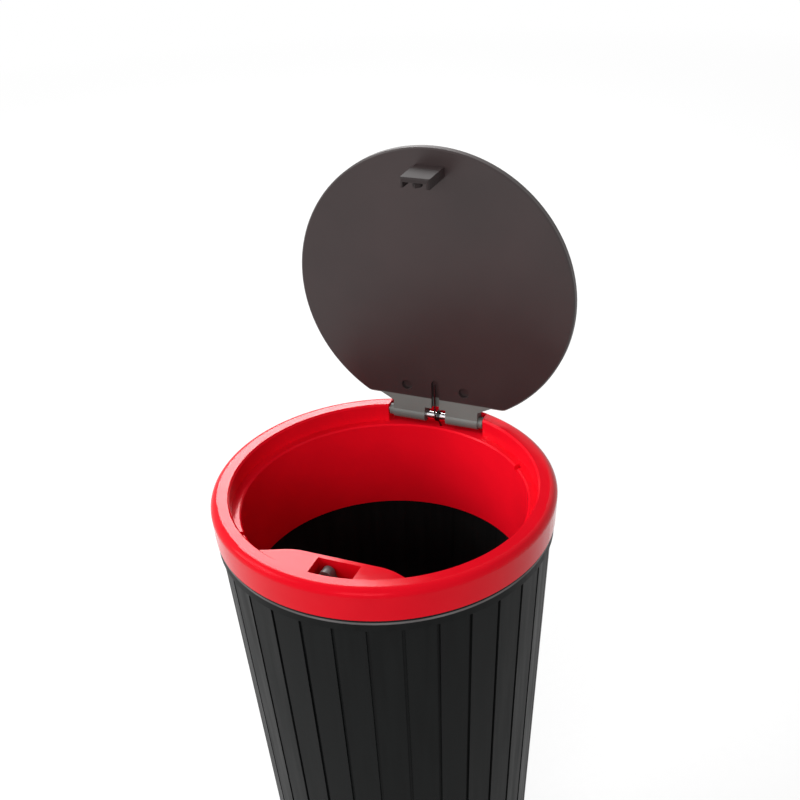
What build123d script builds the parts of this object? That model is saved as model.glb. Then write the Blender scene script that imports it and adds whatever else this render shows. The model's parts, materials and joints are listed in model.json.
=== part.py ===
"""Car trash bin: a grooved tapered cup, a red collar, a sprung lid and a heart-track push latch.

Millimetres. The origin is the middle of the cup's base, +Z is up, the lid's hinge is at +Y and
its latch at -Y. The lid is drawn open and the latch follower leans to -X, as they rest.
"""

import os
from math import atan, cos, degrees, pi, radians, sin

from build123d import *

# Overall size: the collar's outer corner and the height of the flat rim
RIM_RADIUS = 45.0
BIN_HEIGHT = 180.0

# Cup
BASE_RADIUS = 32.0
CUP_WALL = 2.0
CUP_FLOOR = 2.6
CUP_FLOOR_CHAMFER = 2.5
FOOT_CHAMFER = 0.8
LIP_HEIGHT = 3.5
LIP_STEP = 0.5
LIP_CHAMFER = 0.4
PANEL_COUNT = 32
GROOVE_WIDTH = 0.85
GROOVE_DEPTH = 0.7
GROOVE_FOOT = 5.0

# Collar
COLLAR_BAND = 9.0
BAND_OVERHANG = 1.0
BAND_DRAFT = 0.6
RIM_WIDTH = 5.1
RIM_ROUND = 2.0
RIM_INNER_CHAMFER = 0.5
LEDGE_DEPTH = 5.2
LEDGE_WIDTH = 2.45
LEDGE_THICK = 2.2
LEDGE_CHAMFER = 0.4
LEDGE_GAP_WIDTH = 1.8
LEDGE_GAP_DEPTH = 1.4
LEDGE_GAP_REACH = 1.6
LEDGE_GAP_ANGLE = 42.0
SKIRT_LENGTH = 26.4
SKIRT_WALL = 1.5
PLUG_DEPTH = 6.0
PLUG_WALL = 1.2
PLUG_CLEARANCE = 0.25

# Shelf and latch pocket at the front of the collar
SHELF_REACH = 10.4
SHELF_THICK = 1.8
SHELF_FLAT_HALF = 13.0
SHELF_END_HALF = 24.0
SHELF_END_DROP = 4.5
SHELF_ROUND = 14.0
POCKET_HALF = 5.8
POCKET_WALL = 1.2
POCKET_FLOOR = 1.6
POCKET_SWEEP = 1.9

# Hinge
KNUCKLE_RADIUS = 2.0
KNUCKLE_HALF = 12.6
SHOULDER_RADIUS = 1.6
SHOULDER_GAP = 0.3
HINGE_PIN_RADIUS = 1.0
HINGE_PIN_HALF = 18.0
PIN_CHAMFER = 0.25
PIN_END_ROOM = 0.2
PIN_INSET = 0.9
RUNNING_FIT = 0.05
SEAT_FIT = 0.02
NOTCH_HALF = 14.2
NOTCH_GAP = 0.6
SPRING_GAP_HALF = 3.1
SPRING_GAP_REACH = 2.8

# Lid
LID_OPEN = 92.0
LID_GAP = 0.6
LID_THICK = 3.0
LID_TOP_CHAMFER = 0.7
LID_UNDER_CHAMFER = 0.4
HINGE_SETBACK = 5.2
LID_CORNER = 3.0
WEB_REACH = 5.8
WEB_HALF = 17.2
WEB_NECK = 3.6
WEB_DROP = 1.8
DIMPLE_RADIUS = 1.5
DIMPLE_X = 8.5
DIMPLE_REACH = 9.0
DIMPLE_DEPTH = 1.2

# Torsion spring: a small coil on the pin, an arm in the lid's slot and a leg in the collar
WIRE_RADIUS = 0.22
WIRE_SIDES = 6
COIL_RADIUS = 1.4
COIL_PITCH = 0.46
COIL_TURNS = 2
COIL_OUTER_X = 0.9
ARM_LENGTH = 9.6
ARM_TILT = 7.0
LEG_ANGLE = 210.0
LEG_SEAT = 1.6
LEG_FIT = 0.1
SLOT_HALF = 1.15
SLOT_REACH = 11.5
SLOT_DEPTH = 1.15

# Push latch: a striker on the lid with a heart track, and a swinging follower with a peg
STRIKER_LENGTH = 11.0
STRIKER_HALF = 4.0
STRIKER_THICK = 2.8
STRIKER_FOOT_ROOM = 3.0
STRIKER_CHAMFER = 0.4
TRACK_DEPTH = 1.6
TRACK_HALF = 3.2
TRACK_TOP = 5.0
ISLAND_HALF = 1.1
ISLAND_HORN = 7.9
ISLAND_NOTCH = 8.7
ISLAND_WAIST = 9.3
ISLAND_TIP = 10.5
FOLLOWER_ARM = 9.0
FOLLOWER_HEAD = 2.6
FOLLOWER_WIDTH = 3.4
FOLLOWER_THICK = 2.6
FOLLOWER_GAP = 0.6
FOLLOWER_SIDE_GAP = 0.5
FOLLOWER_LEAN = 14.0
PEG_RADIUS = 0.75
PEG_REACH = 1.3
PEG_DROP = 7.7
FOLLOWER_PIN_RADIUS = 0.8
FOLLOWER_PIN_SEAT = 2.5

# Heights and radii that follow from the sizes above
SEAT_Z = BIN_HEIGHT - COLLAR_BAND
LIP_RADIUS = RIM_RADIUS - BAND_OVERHANG
PANEL_TOP_Z = SEAT_Z - LIP_HEIGHT
PANEL_TOP_RADIUS = LIP_RADIUS - LIP_STEP
PANEL_PITCH = 360.0 / PANEL_COUNT
FLAT_RATIO = cos(pi / PANEL_COUNT)
PANEL_DRAFT = degrees(atan((PANEL_TOP_RADIUS - BASE_RADIUS) * FLAT_RATIO / PANEL_TOP_Z))
RIM_INNER = RIM_RADIUS - RIM_WIDTH
LEDGE_Z = BIN_HEIGHT - LEDGE_DEPTH
LEDGE_RADIUS = RIM_INNER - LEDGE_WIDTH
RELIEF_Z = LEDGE_Z - LEDGE_THICK
SKIRT_Z = LEDGE_Z - SKIRT_LENGTH
PLUG_Z = SEAT_Z - PLUG_DEPTH

# Places of the hinge and the lid, with the lid shut
PIN_Y = RIM_INNER - PIN_INSET
PIN_Z = BIN_HEIGHT - KNUCKLE_RADIUS
LID_RADIUS = RIM_INNER - LID_GAP
LID_UNDER_Z = BIN_HEIGHT - LID_THICK
NOTCH_BACK_Y = PIN_Y + KNUCKLE_RADIUS + NOTCH_GAP
HINGE_AXIS = Axis((0, PIN_Y, PIN_Z), (1, 0, 0))

# Places of the latch, from the mouth's side of the pocket outwards
SHELF_Y = -(LEDGE_RADIUS - SHELF_REACH)
POCKET_NEAR_Y = SHELF_Y - POCKET_WALL
FOLLOWER_BACK_Y = POCKET_NEAR_Y - FOLLOWER_SIDE_GAP
FOLLOWER_FACE_Y = FOLLOWER_BACK_Y - FOLLOWER_THICK
POCKET_STEP_Y = FOLLOWER_FACE_Y - FOLLOWER_SIDE_GAP
STRIKER_FACE_Y = FOLLOWER_FACE_Y - FOLLOWER_GAP
STRIKER_BACK_Y = STRIKER_FACE_Y - STRIKER_THICK
POCKET_FAR_Y = STRIKER_BACK_Y - POCKET_SWEEP
FOLLOWER_PIN_END_Y = POCKET_STEP_Y - FOLLOWER_PIN_SEAT
PIVOT_Z = LID_UNDER_Z - PEG_DROP - FOLLOWER_ARM
POCKET_STEP_Z = LID_UNDER_Z - STRIKER_LENGTH - STRIKER_FOOT_ROOM
POCKET_DEEP_Z = PIVOT_Z - FOLLOWER_WIDTH / 2 - FOLLOWER_SIDE_GAP
FOLLOWER_AXIS = Axis((0, 0, PIVOT_Z), (0, 1, 0))

# Spring angles round the pin, from +Y towards +Z, and the coil's turn from its leg to its arm
ARM_ANGLE = 270.0 - LID_OPEN - ARM_TILT
COIL_SWEEP = 360.0 * COIL_TURNS + LEG_ANGLE - ARM_ANGLE
LEG_RADIAL = (0, cos(radians(LEG_ANGLE)), sin(radians(LEG_ANGLE)))


def cup_radius(z):
    """Corner radius of the cup's panels at a height."""
    return BASE_RADIUS + (PANEL_TOP_RADIUS - BASE_RADIUS) * z / PANEL_TOP_Z


def cup_bore(z):
    """Corner radius of the cup's panelled inside at a height."""
    return cup_radius(z) - CUP_WALL


# Collar's plug, which clears the flats of the cup's inside at the plug's foot
PLUG_RADIUS = cup_bore(PLUG_Z) * FLAT_RATIO - PLUG_CLEARANCE

# Spring's line: a leg up to the coil, the coil, and an arm up the lid's slot
coil_plane = Plane((COIL_OUTER_X, PIN_Y, PIN_Z), x_dir=LEG_RADIAL, z_dir=(-1, 0, 0))
coil_line = coil_plane * Helix(COIL_PITCH, COIL_PITCH * COIL_SWEEP / 360.0, COIL_RADIUS)
coil_start = coil_line @ 0
coil_end = coil_line @ 1
leg_heading = -(coil_line % 0)
leg_length = (coil_start.Z - LEDGE_Z + LEG_SEAT) / -leg_heading.Z
leg_tip = coil_start + leg_heading * leg_length
arm_tip = coil_end + (coil_line % 1) * ARM_LENGTH

# One groove, cut down a corner between two panels
with BuildPart() as groove:
    with BuildSketch(Plane.XZ):
        with BuildLine():
            Polyline(
                (cup_radius(GROOVE_FOOT) - GROOVE_DEPTH, GROOVE_FOOT),
                (cup_radius(GROOVE_FOOT) + GROOVE_DEPTH, GROOVE_FOOT),
                (PANEL_TOP_RADIUS + GROOVE_DEPTH, PANEL_TOP_Z),
                (PANEL_TOP_RADIUS - GROOVE_DEPTH, PANEL_TOP_Z),
                close=True,
            )
        make_face()
    extrude(amount=GROOVE_WIDTH / 2, both=True)

# Cup's hollow: a tapered inside with panels like the outside, and a slope round its floor
with BuildPart() as hollow:
    with BuildSketch(Plane.XY.offset(CUP_FLOOR)):
        RegularPolygon(radius=cup_bore(CUP_FLOOR), side_count=PANEL_COUNT, rotation=PANEL_PITCH / 2)
    extrude(amount=SEAT_Z - CUP_FLOOR)
    draft(hollow.faces().filter_by(Axis.Z, reverse=True), Plane.XY.offset(CUP_FLOOR), -PANEL_DRAFT)
    chamfer(hollow.faces().sort_by(Axis.Z)[0].edges(), CUP_FLOOR_CHAMFER)

# Cup: flat tapered panels with a groove at each corner, under a smooth round lip
with BuildPart() as body:
    with BuildSketch():
        RegularPolygon(radius=BASE_RADIUS, side_count=PANEL_COUNT, rotation=PANEL_PITCH / 2)
    extrude(amount=PANEL_TOP_Z)
    draft(body.faces().filter_by(Axis.Z, reverse=True), Plane.XY, -PANEL_DRAFT)
    chamfer(body.faces().sort_by(Axis.Z)[0].edges(), FOOT_CHAMFER)
    with PolarLocations(0, PANEL_COUNT, start_angle=PANEL_PITCH / 2):
        add(groove.part, mode=Mode.SUBTRACT)
    with BuildSketch(Plane.XY.offset(PANEL_TOP_Z)):
        Circle(LIP_RADIUS)
    extrude(amount=LIP_HEIGHT)
    chamfer(body.faces().sort_by(Axis.Z)[-1].edges(), LIP_CHAMFER)
    add(hollow.part, mode=Mode.SUBTRACT)

# Shelf across the front of the collar with its pocket block, bounded by the skirt's wall
with BuildPart() as latch_shelf:
    with BuildSketch(Plane.XY.offset(LEDGE_Z - SHELF_THICK)) as shelf:
        with BuildLine():
            Polyline(
                (-SHELF_END_HALF, -RIM_RADIUS),
                (-SHELF_END_HALF, SHELF_Y - SHELF_END_DROP),
                (-SHELF_FLAT_HALF, SHELF_Y),
                (SHELF_FLAT_HALF, SHELF_Y),
                (SHELF_END_HALF, SHELF_Y - SHELF_END_DROP),
                (SHELF_END_HALF, -RIM_RADIUS),
                close=True,
            )
        make_face()
        for side in (-1, 1):
            end = shelf.vertices().sort_by_distance((side * SHELF_FLAT_HALF, SHELF_Y, 0))[0]
            fillet(end, SHELF_ROUND)
    extrude(amount=SHELF_THICK)
    with BuildSketch(Plane.XY.offset(POCKET_DEEP_Z - POCKET_FLOOR)):
        with Locations((0, SHELF_Y)):
            Rectangle(
                2 * (POCKET_HALF + POCKET_WALL),
                RIM_RADIUS + SHELF_Y,
                align=(Align.CENTER, Align.MAX),
            )
    extrude(amount=LEDGE_Z - POCKET_DEEP_Z + POCKET_FLOOR)
    with Locations((0, 0, SKIRT_Z)):
        Cylinder(
            LEDGE_RADIUS + SKIRT_WALL / 2,
            SKIRT_LENGTH,
            align=(Align.CENTER, Align.CENTER, Align.MIN),
            mode=Mode.INTERSECT,
        )

# Collar: one turned profile, then the shelf, the pocket, the hinge notch and its bores
with BuildPart() as collar:
    with BuildSketch(Plane.XZ) as section:
        with BuildLine():
            Polyline(
                (RIM_RADIUS - BAND_DRAFT, SEAT_Z),
                (RIM_RADIUS, BIN_HEIGHT),
                (RIM_INNER, BIN_HEIGHT),
                (RIM_INNER, LEDGE_Z),
                (LEDGE_RADIUS, LEDGE_Z),
                (LEDGE_RADIUS, SKIRT_Z),
                (LEDGE_RADIUS + SKIRT_WALL, SKIRT_Z),
                (LEDGE_RADIUS + SKIRT_WALL, RELIEF_Z),
                (PLUG_RADIUS - PLUG_WALL, RELIEF_Z),
                (PLUG_RADIUS - PLUG_WALL, PLUG_Z),
                (PLUG_RADIUS, PLUG_Z),
                (PLUG_RADIUS, SEAT_Z),
                close=True,
            )
        make_face()
        fillet(section.vertices().sort_by_distance((RIM_RADIUS, BIN_HEIGHT, 0))[0], RIM_ROUND)
        chamfer(section.vertices().sort_by_distance((RIM_INNER, BIN_HEIGHT, 0))[0], RIM_INNER_CHAMFER)
        chamfer(section.vertices().sort_by_distance((LEDGE_RADIUS, LEDGE_Z, 0))[0], LEDGE_CHAMFER)
    revolve(axis=Axis.Z)

    # Two narrow gaps across the ledge, on opposite sides
    with Locations((0, 0, LEDGE_Z)):
        with PolarLocations(LEDGE_RADIUS, 2, start_angle=LEDGE_GAP_ANGLE):
            Box(2 * LEDGE_GAP_REACH, LEDGE_GAP_WIDTH, 2 * LEDGE_GAP_DEPTH, mode=Mode.SUBTRACT)

    # Shelf and pocket block, with the pocket deeper where the follower swings
    add(latch_shelf.part)
    with BuildSketch(Plane.XY.offset(POCKET_STEP_Z)):
        with Locations((0, POCKET_NEAR_Y)):
            Rectangle(2 * POCKET_HALF, POCKET_NEAR_Y - POCKET_FAR_Y, align=(Align.CENTER, Align.MAX))
    extrude(amount=LEDGE_Z - POCKET_STEP_Z, mode=Mode.SUBTRACT)
    with BuildSketch(Plane.XY.offset(POCKET_DEEP_Z)):
        with Locations((0, POCKET_NEAR_Y)):
            Rectangle(2 * POCKET_HALF, POCKET_NEAR_Y - POCKET_STEP_Y, align=(Align.CENTER, Align.MAX))
    extrude(amount=LEDGE_Z - POCKET_DEEP_Z, mode=Mode.SUBTRACT)
    with BuildSketch(Plane.XZ.offset(-SHELF_Y)):
        with Locations((0, PIVOT_Z)):
            Circle(FOLLOWER_PIN_RADIUS + SEAT_FIT)
    extrude(amount=SHELF_Y - FOLLOWER_PIN_END_Y, mode=Mode.SUBTRACT)

    # Hinge notch in the back of the rim, a blind pin bore on one side and an open one on the other
    with BuildSketch(Plane.XY.offset(LEDGE_Z)):
        with Locations((0, NOTCH_BACK_Y)):
            Rectangle(2 * NOTCH_HALF, RIM_WIDTH + LEDGE_WIDTH, align=(Align.CENTER, Align.MAX))
    extrude(amount=LEDGE_DEPTH, mode=Mode.SUBTRACT)
    with BuildSketch(Plane.YZ.offset(NOTCH_HALF)):
        with Locations((PIN_Y, PIN_Z)):
            Circle(HINGE_PIN_RADIUS + SEAT_FIT)
    extrude(amount=HINGE_PIN_HALF - NOTCH_HALF + PIN_END_ROOM, mode=Mode.SUBTRACT)
    with BuildSketch(Plane.YZ.offset(-NOTCH_HALF)):
        with Locations((PIN_Y, PIN_Z)):
            Circle(HINGE_PIN_RADIUS + SEAT_FIT)
    extrude(amount=NOTCH_HALF - RIM_RADIUS, mode=Mode.SUBTRACT)

    # Slanted hole in the notch's floor for the spring's leg
    with BuildSketch(Plane(coil_start, z_dir=leg_heading)):
        Circle(WIRE_RADIUS + LEG_FIT)
    extrude(amount=leg_length + LEG_FIT, mode=Mode.SUBTRACT)

# Lid's hinge tongue: a sloped web that narrows towards the round barrel, with a shoulder at each end
with BuildPart() as tongue:
    with BuildSketch(Plane.YZ):
        with BuildLine():
            Polyline(
                (PIN_Y - WEB_REACH, LID_UNDER_Z),
                (PIN_Y, PIN_Z - WEB_DROP),
                (PIN_Y, BIN_HEIGHT),
                (PIN_Y - WEB_REACH, BIN_HEIGHT),
                close=True,
            )
        make_face()
        with Locations((PIN_Y, PIN_Z)):
            Circle(KNUCKLE_RADIUS)
    extrude(amount=WEB_HALF, both=True)
    with BuildSketch(Plane.XY.offset(PIN_Z - KNUCKLE_RADIUS)):
        with BuildLine():
            Polyline(
                (-WEB_HALF, PIN_Y - WEB_REACH),
                (-KNUCKLE_HALF, PIN_Y - WEB_NECK),
                (-KNUCKLE_HALF, PIN_Y + KNUCKLE_RADIUS),
                (KNUCKLE_HALF, PIN_Y + KNUCKLE_RADIUS),
                (KNUCKLE_HALF, PIN_Y - WEB_NECK),
                (WEB_HALF, PIN_Y - WEB_REACH),
                close=True,
            )
        make_face()
    extrude(amount=2 * KNUCKLE_RADIUS, mode=Mode.INTERSECT)
    with BuildSketch(Plane.YZ):
        with Locations((PIN_Y, PIN_Z)):
            Circle(SHOULDER_RADIUS)
    extrude(amount=NOTCH_HALF - SHOULDER_GAP, both=True)

# Lid as it lies when shut
with BuildPart() as shut_lid:
    with BuildSketch(Plane.XY.offset(LID_UNDER_Z)) as disc:
        Circle(LID_RADIUS)
        with Locations((0, PIN_Y - HINGE_SETBACK)):
            Rectangle(2 * LID_RADIUS, LID_RADIUS, align=(Align.CENTER, Align.MIN), mode=Mode.SUBTRACT)
        fillet(disc.vertices().sort_by(Axis.Y)[-2:], LID_CORNER)
    extrude(amount=LID_THICK)
    chamfer(shut_lid.faces().sort_by(Axis.Z)[-1].edges(), LID_TOP_CHAMFER)
    chamfer(shut_lid.faces().sort_by(Axis.Z)[0].edges(), LID_UNDER_CHAMFER)
    add(tongue.part)

    # Gap between the knuckles, the spring's slot and the bore for the pin
    with BuildSketch(Plane.XY.offset(PIN_Z - KNUCKLE_RADIUS)):
        with Locations((0, PIN_Y - SPRING_GAP_REACH)):
            Rectangle(
                2 * SPRING_GAP_HALF,
                SPRING_GAP_REACH + KNUCKLE_RADIUS,
                align=(Align.CENTER, Align.MIN),
            )
    extrude(amount=2 * KNUCKLE_RADIUS, mode=Mode.SUBTRACT)
    with BuildSketch(Plane.XY.offset(PIN_Z - KNUCKLE_RADIUS)):
        with Locations((0, PIN_Y)):
            Rectangle(2 * SLOT_HALF, SLOT_REACH - SLOT_HALF, align=(Align.CENTER, Align.MAX))
        with Locations((0, PIN_Y - SLOT_REACH + SLOT_HALF)):
            Circle(SLOT_HALF)
    extrude(amount=LID_UNDER_Z + SLOT_DEPTH - PIN_Z + KNUCKLE_RADIUS, mode=Mode.SUBTRACT)
    with BuildSketch(Plane.YZ):
        with Locations((PIN_Y, PIN_Z)):
            Circle(HINGE_PIN_RADIUS + RUNNING_FIT)
    extrude(amount=NOTCH_HALF, both=True, mode=Mode.SUBTRACT)

    # Two shallow round recesses beside the slot
    with BuildSketch(Plane.XY.offset(LID_UNDER_Z)):
        with Locations((-DIMPLE_X, PIN_Y - DIMPLE_REACH), (DIMPLE_X, PIN_Y - DIMPLE_REACH)):
            Circle(DIMPLE_RADIUS)
    extrude(amount=DIMPLE_DEPTH, mode=Mode.SUBTRACT)

    # Striker, and the heart track in its hinge-side face, open at the striker's foot
    with BuildSketch(Plane.XY.offset(LID_UNDER_Z)):
        with Locations((0, STRIKER_FACE_Y)):
            Rectangle(2 * STRIKER_HALF, STRIKER_THICK, align=(Align.CENTER, Align.MAX))
    extrude(amount=-STRIKER_LENGTH)
    chamfer(shut_lid.faces().sort_by(Axis.Z)[0].edges(), STRIKER_CHAMFER)
    with BuildSketch(Plane((0, STRIKER_FACE_Y, LID_UNDER_Z), x_dir=(1, 0, 0), z_dir=(0, 1, 0))):
        with Locations((0, TRACK_TOP)):
            Rectangle(2 * TRACK_HALF, STRIKER_LENGTH - TRACK_TOP, align=(Align.CENTER, Align.MIN))
        with BuildLine():
            Polyline(
                (-ISLAND_HALF, ISLAND_HORN),
                (0, ISLAND_NOTCH),
                (ISLAND_HALF, ISLAND_HORN),
                (ISLAND_HALF, ISLAND_WAIST),
                (0, ISLAND_TIP),
                (-ISLAND_HALF, ISLAND_WAIST),
                close=True,
            )
        make_face(mode=Mode.SUBTRACT)
    extrude(amount=-TRACK_DEPTH, mode=Mode.SUBTRACT)

# Lid, swung open about the pin
with BuildPart() as lid:
    add(shut_lid.part.rotate(HINGE_AXIS, -LID_OPEN))

# Hinge pin
with BuildPart() as hinge_pin:
    with BuildSketch(Plane.YZ.offset(-HINGE_PIN_HALF)):
        with Locations((PIN_Y, PIN_Z)):
            Circle(HINGE_PIN_RADIUS)
    extrude(amount=2 * HINGE_PIN_HALF)
    chamfer(hinge_pin.edges().filter_by(GeomType.CIRCLE), PIN_CHAMFER)

# Torsion spring: one wire, from its leg through the coil to the end of its arm
with BuildPart() as lid_spring:
    with BuildLine() as spring_line:
        Line(leg_tip, coil_start)
        add(coil_line)
        Line(coil_end, arm_tip)
    spring_path = spring_line.wire()
    with BuildSketch(Plane(spring_path @ 0, z_dir=spring_path % 0)):
        RegularPolygon(radius=WIRE_RADIUS, side_count=WIRE_SIDES)
    sweep(path=spring_path)

# Latch follower: a rounded lever with an eye at its foot and a peg below its head
with BuildPart() as upright_follower:
    with BuildSketch(Plane.XZ.offset(-FOLLOWER_BACK_Y)):
        with Locations((0, PIVOT_Z + (FOLLOWER_ARM + FOLLOWER_HEAD) / 2)):
            SlotCenterToCenter(FOLLOWER_ARM + FOLLOWER_HEAD, FOLLOWER_WIDTH, rotation=90)
        with Locations((0, PIVOT_Z)):
            Circle(FOLLOWER_PIN_RADIUS + RUNNING_FIT, mode=Mode.SUBTRACT)
    extrude(amount=FOLLOWER_THICK)
    with BuildSketch(Plane.XZ.offset(-FOLLOWER_FACE_Y)):
        with Locations((0, PIVOT_Z + FOLLOWER_ARM)):
            Circle(PEG_RADIUS)
    extrude(amount=FOLLOWER_GAP + PEG_REACH)
with BuildPart() as latch_follower:
    add(upright_follower.part.rotate(FOLLOWER_AXIS, -FOLLOWER_LEAN))

# Follower's pivot pin, put in from the mouth's side
with BuildPart() as follower_pin:
    with BuildSketch(Plane.XZ.offset(-SHELF_Y)):
        with Locations((0, PIVOT_Z)):
            Circle(FOLLOWER_PIN_RADIUS)
    extrude(amount=SHELF_Y - FOLLOWER_PIN_END_Y)

# One labelled STEP file for each piece
os.makedirs("parts", exist_ok=True)
for name, piece in {
    "body": body,
    "collar": collar,
    "lid": lid,
    "hinge_pin": hinge_pin,
    "lid_spring": lid_spring,
    "latch_follower": latch_follower,
    "follower_pin": follower_pin,
}.items():
    piece.part.label = name
    export_step(piece.part, f"parts/{name}.step")
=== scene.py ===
"""Looks of the car trash bin: the finishes of its pieces, its spring wire, and a stage.

Metres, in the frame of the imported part: +Z up, the lid's hinge at +Y and its latch at -Y.
"""

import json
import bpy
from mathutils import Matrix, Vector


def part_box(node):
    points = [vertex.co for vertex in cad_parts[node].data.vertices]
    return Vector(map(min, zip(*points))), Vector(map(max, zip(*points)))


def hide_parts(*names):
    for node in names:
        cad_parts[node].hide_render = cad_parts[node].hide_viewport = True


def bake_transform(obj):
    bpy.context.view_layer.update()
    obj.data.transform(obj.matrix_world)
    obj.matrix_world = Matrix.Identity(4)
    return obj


bl_info = {
    "name": "Car Trash Bin",
    "version": (1, 0, 0),
    "blender": (4, 5, 0),
    "location": "3D View > Sidebar > Car Bin",
    "description": "Dresses the packed car trash bin and sets its stage",
    "category": "Object",
}

from math import cos, radians, sin

import bpy
import numpy as np
from bpy.props import FloatProperty, FloatVectorProperty, IntProperty, PointerProperty
from bpy.types import Operator, Panel, PropertyGroup
from mathutils import Matrix, Vector

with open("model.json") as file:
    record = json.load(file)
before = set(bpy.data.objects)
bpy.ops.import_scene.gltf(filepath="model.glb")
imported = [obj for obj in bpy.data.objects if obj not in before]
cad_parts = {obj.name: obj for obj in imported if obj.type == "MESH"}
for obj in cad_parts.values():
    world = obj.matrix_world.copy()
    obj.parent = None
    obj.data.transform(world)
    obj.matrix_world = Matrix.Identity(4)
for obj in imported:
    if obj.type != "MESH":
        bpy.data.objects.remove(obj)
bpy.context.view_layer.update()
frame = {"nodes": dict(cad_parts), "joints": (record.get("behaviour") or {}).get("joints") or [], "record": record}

# Noise: the range that most of it keeps to, and how fine it is
NOISE_LOW = 0.3
NOISE_HIGH = 0.7
NOISE_DETAIL = 2.0
LINE_DETAIL = 3.0

# Scale of a noise along the way that the plastic flowed or the steel was drawn, and an even scale
STREAK_STRETCH = 0.03
DRAWN_STRETCH = 0.05
EVEN = (1.0, 1.0, 1.0)

# Widths of the clouds in a colour and of the floor's mottle
CLOUD_SIZE = 0.02
FLOOR_GRAIN = 0.004

# Soft edges between two finishes: a length at a place, a part of the normal at a turn of the surface
MASK_EDGE = 0.0002
FACING_EDGE = 0.3

# The mix node's colour sockets go by number, because its socket names repeat
MIX_FACTOR = 0
MIX_FIRST = 6
MIX_SECOND = 7
MIX_RESULT = 2

# Colour of the sky and of the white in the floor
WHITE = (1.0, 1.0, 1.0, 1.0)

# Spring wire: points along its coil, its straight ends and its round, and the turn of a sharp edge
COIL_STEPS = 120
STRAIGHT_STEPS = 8
WIRE_STEPS = 20
CAP_ANGLE = radians(50.0)

# Along the hinge pin
PIN_AXIS = (1.0, 0.0, 0.0)

# Camera: its sensor in millimetres, and the nearest that it sees
SENSOR_WIDTH = 36.0
CLIP_START = 0.01

# Places of the lamps and the aim of the inner one, from the middle of the rim
WINDOW_PLACE = (-0.65, -0.3, 0.45)
BACK_PLACE = (-0.5, 0.74, 0.64)
FRONT_PLACE = (0.12, -0.8, 0.3)
INNER_PLACE = (-0.6, -0.28, 0.5)
INNER_AIM = (0.038, 0.015, -0.01)

# The inner lamp's radius, and the share of its beam that is a soft edge
INNER_RADIUS = 0.02
INNER_SOFTNESS = 1.0

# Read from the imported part
pin_place = next(joint["pos_m"] for joint in frame["joints"] if joint["name"] == "lid_hinge")
slot_colours = {entry["slot"]: entry["base_color"] for entry in frame["record"]["materials"]}
cup_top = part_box("body")[1].z
rim_middle = Vector((0.0, 0.0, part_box("collar")[1].z))


def length(name, description, default):
    """A length property in metres."""
    return FloatProperty(
        name=name, description=description, default=default, min=0.0, unit="LENGTH", precision=5
    )


def share(name, description, default):
    """A property from 0 to 1."""
    return FloatProperty(
        name=name, description=description, default=default, min=0.0, max=1.0, subtype="FACTOR"
    )


def pair(name, description, default):
    """A property of two shares, the lower one first, of which the second may pass 1."""
    return FloatVectorProperty(name=name, description=description, default=default, size=2, min=0.0)


def angle(name, description, default):
    """An angle property, with its default in degrees."""
    return FloatProperty(
        name=name, description=description, default=radians(default), subtype="ANGLE"
    )


def power(name, description, default):
    """A lamp's power in watts."""
    return FloatProperty(name=name, description=description, default=default, min=0.0, unit="POWER")


def colour(name, description, default):
    """A linear colour property."""
    return FloatVectorProperty(
        name=name, description=description, default=default, size=3, min=0.0, max=1.0, subtype="COLOR"
    )


class CupFinish(PropertyGroup):
    """Satin black moulding of the cup, with a paler line painted on its lip as a highlight."""

    tint: colour("Colour", "Colour of the moulding", (0.0065, 0.007, 0.007))
    shades: pair("Shades", "Darkest and lightest streaks, as shares of the colour", (0.8, 1.25))
    roughness: share("Roughness", "Middle roughness of the panels", 0.46)
    roughness_drift: share("Roughness Drift", "How far the roughness drifts either way", 0.06)
    gloss: share("Gloss", "Specular level of the moulding", 0.07)
    grain: length("Grain", "Width of the moulded grain", 0.00035)
    grain_height: length("Grain Height", "Height of the moulded grain", 0.000012)
    streak: length("Streak", "Width of the upright flow streaks", 0.0022)
    # The line on the lip is a painted highlight: a paler colour where the lip's edge would catch the light.
    painted_lip_highlight_tint: colour("Rubbed Colour", "Colour of the rubbed line on the lip", (0.16, 0.15, 0.15))
    painted_lip_highlight_shades: pair("Rubbed Shades", "Darkest and lightest of the line, as shares", (0.5, 1.3))
    painted_lip_highlight_drop: length("Rubbed Drop", "From the top of the lip down to the rubbed line", 0.0008)
    painted_lip_highlight_width: length("Rubbed Width", "Width of the rubbed line", 0.0006)


class CollarFinish(PropertyGroup):
    """Gloss red moulding of the collar."""

    tint: colour("Colour", "Colour of the moulding", (0.74, 0.004, 0.014))
    shades: pair("Shades", "Darkest and lightest clouds, as shares of the colour", (0.94, 1.05))
    roughness: share("Roughness", "Middle roughness of the gloss", 0.17)
    roughness_drift: share("Roughness Drift", "How far the roughness drifts either way", 0.04)
    gloss: share("Gloss", "Specular level of the moulding", 0.2)
    gloss_tint: colour("Gloss Colour", "Colour of the gloss seen face-on", (1.0, 0.12, 0.16))
    ripple: length("Ripple", "Width of the ripple in the gloss", 0.0035)
    ripple_height: length("Ripple Height", "Height of the ripple in the gloss", 0.000004)


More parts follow.
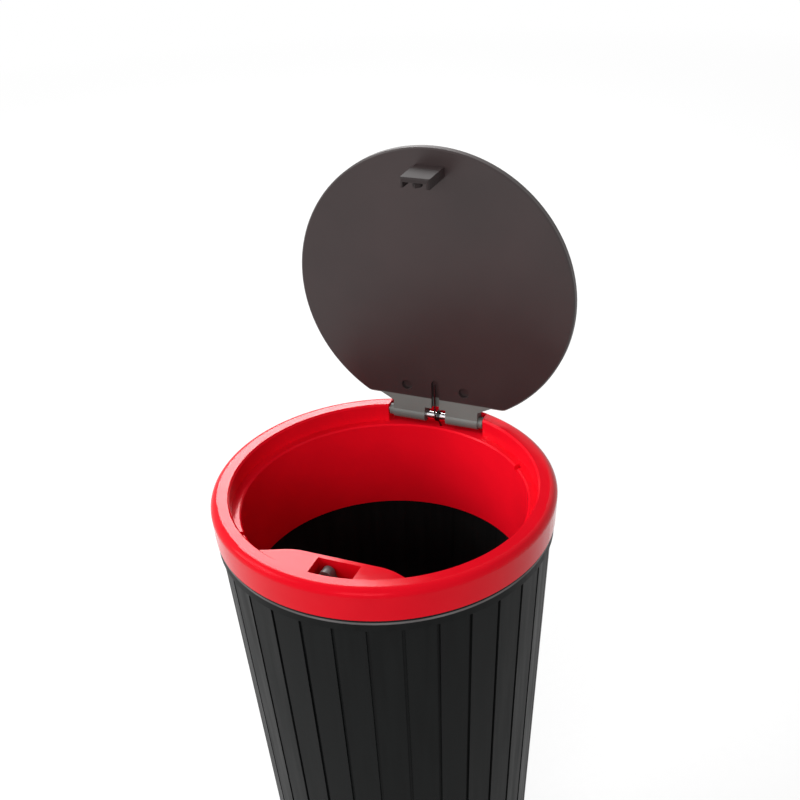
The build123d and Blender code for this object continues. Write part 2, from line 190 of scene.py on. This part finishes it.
class LidFinish(PropertyGroup):
    """Black lid moulding: grained top, dull striker in painted shade, smooth web and barrels in painted sheen."""

    tint: colour("Colour", "Colour of the moulding", (0.027, 0.0155, 0.0155))
    shades: pair("Shades", "Darkest and lightest clouds, as shares of the colour", (0.88, 1.12))
    roughness: share("Roughness", "Middle roughness of the underside", 0.38)
    roughness_drift: share("Roughness Drift", "How far the roughness drifts either way", 0.02)
    top_roughness: share("Top Roughness", "Roughness of the grained top", 0.7)
    # The web's paler colour is painted sheen, where the smooth web and barrels would catch the light.
    web_sheen_tint: colour("Web Colour", "Colour of the smooth web and barrels", (0.116, 0.126, 0.118))
    web_roughness: share("Web Roughness", "Roughness of the smooth web and barrels", 0.4)
    web_reach: length("Web Reach", "How far the smooth web reaches from the pin", 0.0058)
    # The striker's darker colour is painted shade, which keeps its lit top as dark as the disc.
    striker_shade_tint: colour("Striker Colour", "Colour of the striker", (0.015, 0.009, 0.009))
    striker_roughness: share("Striker Roughness", "Roughness of the striker", 0.8)
    striker_start: length("Striker Start", "How far in front of the pin the striker starts", 0.0015)
    grain: length("Grain", "Width of the moulded grain", 0.0003)
    grain_height: length("Grain Height", "Height of the moulded grain", 0.00001)


class LatchFinish(PropertyGroup):
    """Dark grey moulding of the latch follower."""

    tint: colour("Colour", "Colour of the moulding", slot_colours["latch_plastic"])
    shades: pair("Shades", "Darkest and lightest patches, as shares of the colour", (0.8, 1.2))
    roughness: share("Roughness", "Middle roughness of the follower", 0.45)
    roughness_drift: share("Roughness Drift", "How far the roughness drifts either way", 0.1)
    patch: length("Patch", "Width of the patches that are worn shinier", 0.0024)
    grain: length("Grain", "Width of the moulded grain", 0.0003)
    grain_height: length("Grain Height", "Height of the moulded grain", 0.00001)


class SteelFinish(PropertyGroup):
    """Drawn steel of the pins and the spring wire."""

    pin_tint: colour("Pin Colour", "Colour of the pins", slot_colours["pin_steel"])
    wire_tint: colour("Wire Colour", "Colour of the spring wire", (0.07, 0.07, 0.075))
    shades: pair("Shades", "Darkest and lightest lines, as shares of the colour", (0.85, 1.1))
    roughness: share("Roughness", "Middle roughness of the steel", 0.24)
    roughness_drift: share("Roughness Drift", "How far the roughness drifts either way", 0.08)
    line: length("Drawn Line", "Width of the drawing lines", 0.00012)
    line_height: length("Line Height", "Height of the drawing lines", 0.000002)


class SpringForm(PropertyGroup):
    """Sizes of the torsion spring on the hinge pin."""

    wire_radius: length("Wire Radius", "Radius of the wire", 0.00022)
    coil_radius: length("Coil Radius", "Radius of the coil's centre line", 0.0014)
    coil_pitch: length("Coil Pitch", "Step of the coil in one turn", 0.00046)
    coil_turns: IntProperty(name="Coil Turns", description="Whole turns of the coil", default=2, min=1)
    outer_x: length("Coil Start", "Distance of the coil's outer end from the middle", 0.0009)
    arm_length: length("Arm Length", "Length of the arm in the lid's slot", 0.0096)
    arm_angle: angle("Arm Angle", "Angle round the pin where the arm leaves the coil", 171.0)
    leg_angle: angle("Leg Angle", "Angle round the pin where the leg meets the coil", 210.0)
    leg_length: length("Leg Length", "Length of the leg that stands in the collar", 0.00474)


class StageSet(PropertyGroup):
    """Camera, floor, sky and lamps."""

    azimuth: angle("Azimuth", "Camera's turn to the right of the front", 24.9)
    elevation: angle("Elevation", "Camera's height above the horizon", 33.7)
    roll: angle("Roll", "Camera's turn about its own axis", -3.75)
    distance: length("Distance", "From the camera to the middle of the rim", 0.33)
    lens: FloatProperty(
        name="Lens", description="Focal length in millimetres", default=57.2, unit="CAMERA"
    )
    aim_right: length("Aim Right", "How far right of the rim's middle the camera aims", 0.0043)
    aim_up: length("Aim Up", "How far above the rim's middle the camera aims", 0.0214)
    floor_reach: length("Floor Reach", "Distance from the middle of the floor to its sides", 3.0)
    floor_tint: colour("Floor Colour", "Colour of the floor as it is seen", (0.92, 0.92, 0.92))
    floor_shades: pair("Floor Shades", "Darkest and lightest mottle, as shares", (0.985, 1.0))
    floor_bounce: colour("Floor Bounce", "Colour of the light it throws back", (0.42, 0.42, 0.42))
    floor_white: share("Floor White", "Share of plain white in the floor by the cup", 0.5)
    fade_start: length("Fade Start", "Distance where the floor starts to fade to white", 0.3)
    fade_end: length("Fade End", "Distance where the floor is plain white", 1.2)
    sky: share("Sky", "Strength of the even light from all round", 0.4)
    window_power: power("Window Power", "Light from the left", 3.05)
    window_size: length("Window Size", "Side of the lamp on the left", 0.5)
    back_power: power("Back Power", "Light from behind on the left", 9.5)
    back_size: length("Back Size", "Side of the lamp behind", 0.45)
    front_power: power("Front Power", "Light from the front", 3.6)
    front_size: length("Front Size", "Side of the lamp in front", 0.4)
    inner_power: power("Inner Power", "Light from the left that reaches inside the collar", 21.0)
    inner_cone: angle("Inner Cone", "Angle across the beam that reaches inside the collar", 6.3)


class CarBinSettings(PropertyGroup):
    """All settings of the car bin."""

    cup: PointerProperty(type=CupFinish)
    collar: PointerProperty(type=CollarFinish)
    lid: PointerProperty(type=LidFinish)
    latch: PointerProperty(type=LatchFinish)
    steel: PointerProperty(type=SteelFinish)
    spring: PointerProperty(type=SpringForm)
    stage: PointerProperty(type=StageSet)


def put(tree, kind, inputs=None, **settings):
    """Adds a node, sets its options, and gives its inputs values or links them to other outputs."""
    node = tree.nodes.new(kind)
    for option, value in settings.items():
        setattr(node, option, value)
    for socket, value in (inputs or {}).items():
        if isinstance(value, bpy.types.NodeSocket):
            tree.links.new(value, node.inputs[socket])
        else:
            node.inputs[socket].default_value = value
    return node


def new_material(name):
    """An empty material and its node tree."""
    material = bpy.data.materials.new(name)
    material.use_nodes = True
    material.node_tree.nodes.clear()
    return material, material.node_tree


def noise(tree, size, stretch=EVEN, detail=NOISE_DETAIL):
    """Soft noise with features about size wide, drawn out along an axis whose stretch is under 1."""
    place = put(tree, "ShaderNodeTexCoord").outputs["Object"]
    drawn = put(tree, "ShaderNodeMapping", {"Vector": place, "Scale": stretch}).outputs["Vector"]
    texture = put(tree, "ShaderNodeTexNoise", {"Vector": drawn, "Scale": 1.0 / size, "Detail": detail})
    return texture.outputs["Fac"]


def remap(tree, value, start, end, low=0.0, high=1.0):
    """Carries a value over from one range to another, whose ends are numbers or outputs."""
    limits = {"From Min": start, "From Max": end, "To Min": low, "To Max": high}
    return put(tree, "ShaderNodeMapRange", {"Value": value, **limits}).outputs["Result"]


def choose(tree, mask, off, on):
    """The number off where a mask is 0, the number on where it is 1, each a number or an output."""
    return remap(tree, mask, 0.0, 1.0, off, on)


def drift(tree, value, middle, reach):
    """Carries a noise value over to a range that goes as far as reach either way of a middle."""
    return remap(tree, value, NOISE_LOW, NOISE_HIGH, middle - reach, middle + reach)


def along(tree, coordinate, axis):
    """How far a texture coordinate goes along one axis of the object."""
    vector = put(tree, "ShaderNodeTexCoord").outputs[coordinate]
    return put(tree, "ShaderNodeSeparateXYZ", {"Vector": vector}).outputs[axis]


def rise(tree, axis, edge):
    """0 below a place on an axis of the object, 1 above it, with a narrow soft edge."""
    return remap(tree, along(tree, "Object", axis), edge - MASK_EDGE, edge)


def faces_back(tree):
    """1 where the surface faces +Y of the object, 0 where it faces -Y, with a soft change between."""
    return remap(tree, along(tree, "Normal", "Y"), -FACING_EDGE, FACING_EDGE)


def combine(tree, operation, first, second, **settings):
    """One number from two, by an operation of the math node."""
    node = put(tree, "ShaderNodeMath", {0: first, 1: second}, operation=operation, **settings)
    return node.outputs["Value"]


def mix_colours(tree, mask, first, second):
    """The first colour where a mask is 0, the second where it is 1."""
    inputs = {MIX_FACTOR: mask, MIX_FIRST: first, MIX_SECOND: second}
    return put(tree, "ShaderNodeMix", inputs, data_type="RGBA").outputs[MIX_RESULT]


def shade(tree, tint, value, shades):
    """A colour made darker and lighter by a noise value, between two shades that are shares of it."""
    darkest, lightest = shades
    dark = [darkest * channel for channel in tint] + [1.0]
    light = [min(1.0, lightest * channel) for channel in tint] + [1.0]
    return mix_colours(tree, remap(tree, value, NOISE_LOW, NOISE_HIGH), dark, light)


def surface(tree, base, roughness, height, depth, **constants):
    """Shader with a bump of the given depth, and constants set on its own sockets."""
    bump = put(tree, "ShaderNodeBump", {"Height": height, "Distance": depth, "Strength": 1.0})
    inputs = {"Base Color": base, "Roughness": roughness, "Normal": bump.outputs["Normal"]}
    shader = put(tree, "ShaderNodeBsdfPrincipled", {**inputs, **constants})
    put(tree, "ShaderNodeOutputMaterial", {"Surface": shader.outputs["BSDF"]})


def cup_plastic(finish):
    """Satin black moulding with a fine grain, upright streaks of flow and a painted highlight line on the lip."""
    material, tree = new_material("cup_plastic")
    streaks = noise(tree, finish.streak, stretch=(1.0, 1.0, STREAK_STRETCH))
    moulded = shade(tree, finish.tint, streaks, finish.shades)
    # Painted highlight: a paler line just under the top of the lip, where its edge would catch the light.
    line_top = cup_top - finish.painted_lip_highlight_drop
    over_foot = rise(tree, "Z", line_top - finish.painted_lip_highlight_width)
    over_top = rise(tree, "Z", line_top)
    on_line = combine(tree, "SUBTRACT", over_foot, over_top)
    painted_lip_highlight = shade(tree, finish.painted_lip_highlight_tint, noise(tree, CLOUD_SIZE), finish.painted_lip_highlight_shades)
    base = mix_colours(tree, on_line, moulded, painted_lip_highlight)
    roughness = drift(tree, streaks, finish.roughness, finish.roughness_drift)
    constants = {"Specular IOR Level": finish.gloss}
    surface(tree, base, roughness, noise(tree, finish.grain), finish.grain_height, **constants)
    return material


def collar_plastic(finish):
    """Gloss red moulding: a faint slow ripple in the gloss and a little cloud in the colour.

    The gloss is red where it is seen face-on and white where it is seen at a slant.
    """
    material, tree = new_material("collar_plastic")
    base = shade(tree, finish.tint, noise(tree, CLOUD_SIZE), finish.shades)
    ripple = noise(tree, finish.ripple)
    roughness = drift(tree, ripple, finish.roughness, finish.roughness_drift)
    constants = {"Specular IOR Level": finish.gloss, "Specular Tint": (*finish.gloss_tint, 1.0)}
    surface(tree, base, roughness, ripple, finish.ripple_height, **constants)
    return material


def lid_plastic(finish):
    """Black moulding with a fine even grain: satin underneath, duller on the striker and on top.

    The web and barrels beside the hinge are smooth underneath, with a paler colour painted on as sheen.
    The striker is painted darker as shade. The places are those of the open lid, whose top faces +Y.
    """
    material, tree = new_material("lid_plastic")
    pin_y, pin_z = pin_place[1:]
    cloud = noise(tree, CLOUD_SIZE)
    on_top = faces_back(tree)
    past_web = rise(tree, "Z", pin_z + finish.web_reach)
    off_web = combine(tree, "MAXIMUM", past_web, on_top)
    off_striker = rise(tree, "Y", pin_y - finish.striker_start)
    plain = shade(tree, finish.tint, cloud, finish.shades)
    # Painted shade: the striker is darker than the disc.
    striker = shade(tree, finish.striker_shade_tint, cloud, finish.shades)
    # Painted sheen: the web and barrels are paler than the disc.
    web = shade(tree, finish.web_sheen_tint, cloud, finish.shades)
    disc = mix_colours(tree, off_striker, striker, plain)
    base = mix_colours(tree, off_web, web, disc)
    satin = drift(tree, cloud, finish.roughness, finish.roughness_drift)
    disc_roughness = choose(tree, off_striker, finish.striker_roughness, satin)
    under_roughness = choose(tree, off_web, finish.web_roughness, disc_roughness)
    roughness = choose(tree, on_top, under_roughness, finish.top_roughness)
    surface(tree, base, roughness, noise(tree, finish.grain), finish.grain_height)
    return material


def latch_plastic(finish):
    """Dark grey moulding of the follower, which wears a little shinier in patches."""
    material, tree = new_material("latch_plastic")
    patches = noise(tree, finish.patch)
    base = shade(tree, finish.tint, patches, finish.shades)
    roughness = drift(tree, patches, finish.roughness, finish.roughness_drift)
    surface(tree, base, roughness, noise(tree, finish.grain), finish.grain_height)
    return material


def drawn_steel(name, tint, finish, stretch=EVEN):
    """Steel with fine drawing lines, which a stretch lays along a pin."""
    material, tree = new_material(name)
    lines = noise(tree, finish.line, stretch=stretch, detail=LINE_DETAIL)
    base = shade(tree, tint, lines, finish.shades)
    roughness = drift(tree, lines, finish.roughness, finish.roughness_drift)
    surface(tree, base, roughness, lines, finish.line_height, Metallic=1.0)
    return material


def dress(node, material):
    """Gives a CAD node its finish."""
    materials = frame["nodes"][node].data.materials
    materials.clear()
    materials.append(material)


def coil_sweep(form):
    """Angle that the coil turns through from its leg to its arm."""
    return 2 * np.pi * form.coil_turns + form.leg_angle - form.arm_angle


def spring_line(form):
    """Centre line of the spring, its tangents and its normals, from the leg's end to the arm's end.

    Angles run round the pin from +Y towards +Z. The leg is straight and ends on the coil's first
    tangent. The coil is a helix: at turn t its angle is the leg's angle less t, and it steps towards -X
    by one pitch a turn. The arm goes straight on along the coil's last tangent. The normal is the
    coil's radius at that place, and the leg keeps the coil's first one and the arm its last one, so the
    wire never twists.
    """
    pin = np.array(pin_place)
    across = np.array(PIN_AXIS)
    step = form.coil_pitch / (2 * np.pi)
    turn = np.linspace(0.0, coil_sweep(form), COIL_STEPS)
    facing = form.leg_angle - turn
    radial = np.stack([np.zeros_like(facing), np.cos(facing), np.sin(facing)], axis=1)
    coil = pin + form.coil_radius * radial + np.outer(form.outer_x - step * turn, across)
    heading = np.cross(radial, across) * form.coil_radius - step * across
    heading /= np.linalg.norm(heading, axis=1, keepdims=True)
    leg = coil[0] - np.outer(np.linspace(form.leg_length, 0.0, STRAIGHT_STEPS)[:-1], heading[0])
    arm = coil[-1] + np.outer(np.linspace(0.0, form.arm_length, STRAIGHT_STEPS)[1:], heading[-1])
    line = np.concatenate([leg, coil, arm])
    place = np.clip(np.arange(len(line)) - len(leg), 0, COIL_STEPS - 1)
    return line, heading[place], radial[place]


def wire_mesh(name, line, tangents, normals, radius):
    """Round wire: at each point of the line, a circle across the tangent that starts at the normal.

    Flat caps close both ends.
    """
    around = np.linspace(0.0, 2 * np.pi, WIRE_STEPS, endpoint=False)[:, None]
    binormals = np.cross(tangents, normals)
    circles = np.cos(around) * normals[:, None] + np.sin(around) * binormals[:, None]
    points = line[:, None] + radius * circles
    first = np.arange(WIRE_STEPS)
    following = np.roll(first, -1)
    ring = np.arange(len(line) - 1)[:, None] * WIRE_STEPS
    next_ring = ring + WIRE_STEPS
    corners = [ring + first, ring + following, next_ring + following, next_ring + first]
    sides = np.stack(corners, axis=-1).reshape(-1, len(corners)).tolist()
    last_ring = (len(line) - 1) * WIRE_STEPS
    caps = [first[::-1].tolist(), (last_ring + first).tolist()]
    mesh = bpy.data.meshes.new(name)
    mesh.from_pydata(points.reshape(-1, 3).tolist(), [], sides + caps)
    mesh.shade_smooth()
    mesh.set_sharp_from_angle(angle=CAP_ANGLE)
    mesh.validate()
    return mesh


def seen(tree):
    """1 for a ray that shows the stage, to the camera or in a reflection, and 0 for a ray of light."""
    path = put(tree, "ShaderNodeLightPath").outputs
    mirrored = combine(tree, "ADD", path["Is Glossy Ray"], path["Is Transmission Ray"])
    return combine(tree, "ADD", path["Is Camera Ray"], mirrored, use_clamp=True)


def floor_paper(stage):
    """Pale paper with a faint mottle, which is seen paler than the light that it throws back.

    Part of what is seen is plain white: the same part all round the cup, and further out a part that
    grows with the distance until the floor is all white.
    """
    material, tree = new_material("floor_paper")
    shown = seen(tree)
    mottled = shade(tree, stage.floor_tint, noise(tree, FLOOR_GRAIN), stage.floor_shades)
    base = mix_colours(tree, shown, (*stage.floor_bounce, 1.0), mottled)
    lit = put(tree, "ShaderNodeBsdfDiffuse", {"Color": base}).outputs["BSDF"]
    white = put(tree, "ShaderNodeEmission", {"Color": WHITE, "Strength": 1.0}).outputs["Emission"]
    place = put(tree, "ShaderNodeTexCoord").outputs["Object"]
    away = put(tree, "ShaderNodeVectorMath", {0: place}, operation="LENGTH").outputs["Value"]
    whiteness = remap(tree, away, stage.fade_start, stage.fade_end, stage.floor_white, 1.0)
    white_part = combine(tree, "MULTIPLY", shown, whiteness)
    mixed = put(tree, "ShaderNodeMixShader", {0: white_part, 1: lit, 2: white})
    put(tree, "ShaderNodeOutputMaterial", {"Surface": mixed.outputs["Shader"]})
    return material


def set_floor(context, stage):
    """A square floor at the height of the cup's base."""
    reach = stage.floor_reach
    corners = [(-reach, -reach, 0.0), (reach, -reach, 0.0), (reach, reach, 0.0), (-reach, reach, 0.0)]
    mesh = bpy.data.meshes.new("floor")
    mesh.from_pydata(corners, [], [(0, 1, 2, 3)])
    mesh.materials.append(floor_paper(stage))
    floor = bpy.data.objects.new("floor", mesh)
    context.scene.collection.objects.link(floor)


def set_sky(context, stage):
    """An even pale light from all round, which is seen as white."""
    world = bpy.data.worlds.new("studio")
    world.use_nodes = True
    tree = world.node_tree
    tree.nodes.clear()
    strength = choose(tree, seen(tree), stage.sky, 1.0)
    sky = put(tree, "ShaderNodeBackground", {"Color": WHITE, "Strength": strength})
    put(tree, "ShaderNodeOutputWorld", {"Surface": sky.outputs["Background"]})
    context.scene.world = world


def hang(context, lamp, place, aim=(0.0, 0.0, 0.0)):
    """Hangs a lamp at a place and turns it to its aim, both from the middle of the rim."""
    holder = bpy.data.objects.new(lamp.name, lamp)
    holder.location = rim_middle + Vector(place)
    holder.rotation_euler = (Vector(aim) - Vector(place)).to_track_quat("-Z", "Y").to_euler()
    context.scene.collection.objects.link(holder)


def set_lamps(context, stage):
    """Square soft lamps on the left, behind on the left and in front, and one with a narrow soft beam.

    The beam passes over the left of the rim and lights the inside of the collar on the right.
    """
    for name, watts, size, place in (
        ("window", stage.window_power, stage.window_size, WINDOW_PLACE),
        ("back_lamp", stage.back_power, stage.back_size, BACK_PLACE),
        ("front_lamp", stage.front_power, stage.front_size, FRONT_PLACE),
    ):
        lamp = bpy.data.lights.new(name, "AREA")
        lamp.shape = "SQUARE"
        lamp.size = size
        lamp.energy = watts
        hang(context, lamp, place)
    beam = bpy.data.lights.new("inner_lamp", "SPOT")
    beam.energy = stage.inner_power
    beam.spot_size = stage.inner_cone
    beam.spot_blend = INNER_SOFTNESS
    beam.shadow_soft_size = INNER_RADIUS
    hang(context, beam, INNER_PLACE, INNER_AIM)


def set_camera(context, stage):
    """Camera on a sphere round the rim's middle, aimed a little beside it and rolled about its axis."""
    azimuth = stage.azimuth
    elevation = stage.elevation
    back = Vector((sin(azimuth) * cos(elevation), -cos(azimuth) * cos(elevation), sin(elevation)))
    right = Vector((cos(azimuth), sin(azimuth), 0.0))
    up = back.cross(right)
    rolled_right = right * cos(stage.roll) + up * sin(stage.roll)
    rolled_up = up * cos(stage.roll) - right * sin(stage.roll)
    place = rim_middle + back * stage.distance
    aim = rim_middle + rolled_right * stage.aim_right + rolled_up * stage.aim_up
    behind = (place - aim).normalized()
    side = rolled_up.cross(behind).normalized()
    turn = Matrix((side, behind.cross(side), behind)).transposed()
    data = bpy.data.cameras.new("camera")
    data.sensor_width = SENSOR_WIDTH
    data.lens = stage.lens
    data.clip_start = CLIP_START
    camera = bpy.data.objects.new("camera", data)
    camera.matrix_world = Matrix.Translation(place) @ turn.to_4x4()
    context.scene.collection.objects.link(camera)
    context.scene.camera = camera


class CARBIN_OT_cup(Operator):
    """Gives the cup its satin black finish"""

    bl_idname = "carbin.cup"
    bl_label = "Dress Cup"

    def execute(self, context):
        dress("body", cup_plastic(context.scene.car_bin.cup))
        return {"FINISHED"}


class CARBIN_OT_collar(Operator):
    """Gives the collar its gloss red finish"""

    bl_idname = "carbin.collar"
    bl_label = "Dress Collar"

    def execute(self, context):
        dress("collar", collar_plastic(context.scene.car_bin.collar))
        return {"FINISHED"}


class CARBIN_OT_lid(Operator):
    """Gives the lid its black finish"""

    bl_idname = "carbin.lid"
    bl_label = "Dress Lid"

    def execute(self, context):
        dress("lid", lid_plastic(context.scene.car_bin.lid))
        return {"FINISHED"}


class CARBIN_OT_latch(Operator):
    """Gives the latch follower its dark grey finish"""

    bl_idname = "carbin.latch"
    bl_label = "Dress Latch"

    def execute(self, context):
        dress("latch_follower", latch_plastic(context.scene.car_bin.latch))
        return {"FINISHED"}


class CARBIN_OT_pins(Operator):
    """Gives the hinge pin and the follower's pin their drawn steel"""

    bl_idname = "carbin.pins"
    bl_label = "Dress Pins"

    def execute(self, context):
        steel = context.scene.car_bin.steel
        along_x = (DRAWN_STRETCH, 1.0, 1.0)
        along_y = (1.0, DRAWN_STRETCH, 1.0)
        dress("hinge_pin", drawn_steel("hinge_pin_steel", steel.pin_tint, steel, along_x))
        dress("follower_pin", drawn_steel("follower_pin_steel", steel.pin_tint, steel, along_y))
        return {"FINISHED"}


class CARBIN_OT_spring(Operator):
    """Winds the torsion spring on the hinge pin, in place of the packed one"""

    bl_idname = "carbin.spring"
    bl_label = "Wind Spring"

    def execute(self, context):
        form = context.scene.car_bin.spring
        steel = context.scene.car_bin.steel
        mesh = wire_mesh("spring_wire", *spring_line(form), form.wire_radius)
        mesh.materials.append(drawn_steel("spring_steel", steel.wire_tint, steel))
        piece = bpy.data.objects.new("spring_wire", mesh)
        context.scene.collection.objects.link(piece)
        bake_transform(piece)
        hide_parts("lid_spring")
        return {"FINISHED"}


class CARBIN_OT_stage(Operator):
    """Sets the floor, the sky, the lamps and the camera"""

    bl_idname = "carbin.stage"
    bl_label = "Set Stage"

    def execute(self, context):
        stage = context.scene.car_bin.stage
        set_floor(context, stage)
        set_sky(context, stage)
        set_lamps(context, stage)
        set_camera(context, stage)
        context.scene.view_settings.view_transform = "Standard"
        return {"FINISHED"}


OPERATORS = (
    (CARBIN_OT_cup, "cup"),
    (CARBIN_OT_collar, "collar"),
    (CARBIN_OT_lid, "lid"),
    (CARBIN_OT_latch, "latch"),
    (CARBIN_OT_pins, "steel"),
    (CARBIN_OT_spring, "spring"),
    (CARBIN_OT_stage, "stage"),
)


class CARBIN_PT_sidebar(Panel):
    """Lists the bin's operators, each with its settings"""

    bl_idname = "CARBIN_PT_sidebar"
    bl_label = "Car Trash Bin"
    bl_space_type = "VIEW_3D"
    bl_region_type = "UI"
    bl_category = "Car Bin"

    def draw(self, context):
        for operator, group in OPERATORS:
            settings = getattr(context.scene.car_bin, group)
            box = self.layout.box()
            box.operator(operator.bl_idname)
            for name in settings.__annotations__:
                box.prop(settings, name)


CLASSES = (
    CupFinish,
    CollarFinish,
    LidFinish,
    LatchFinish,
    SteelFinish,
    SpringForm,
    StageSet,
    CarBinSettings,
    *(operator for operator, group in OPERATORS),
    CARBIN_PT_sidebar,
)


def register():
    """Registers every class and the scene's settings."""
    for entry in CLASSES:
        bpy.utils.register_class(entry)
    bpy.types.Scene.car_bin = PointerProperty(type=CarBinSettings)


def unregister():
    """Takes the settings and the classes away again."""
    del bpy.types.Scene.car_bin
    for entry in reversed(CLASSES):
        bpy.utils.unregister_class(entry)


def main():
    """Registers the add-on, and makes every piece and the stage."""
    register()
    bpy.ops.carbin.cup()
    bpy.ops.carbin.collar()
    bpy.ops.carbin.lid()
    bpy.ops.carbin.latch()
    bpy.ops.carbin.pins()
    bpy.ops.carbin.spring()
    bpy.ops.carbin.stage()


if __name__ == "__main__":
    main()
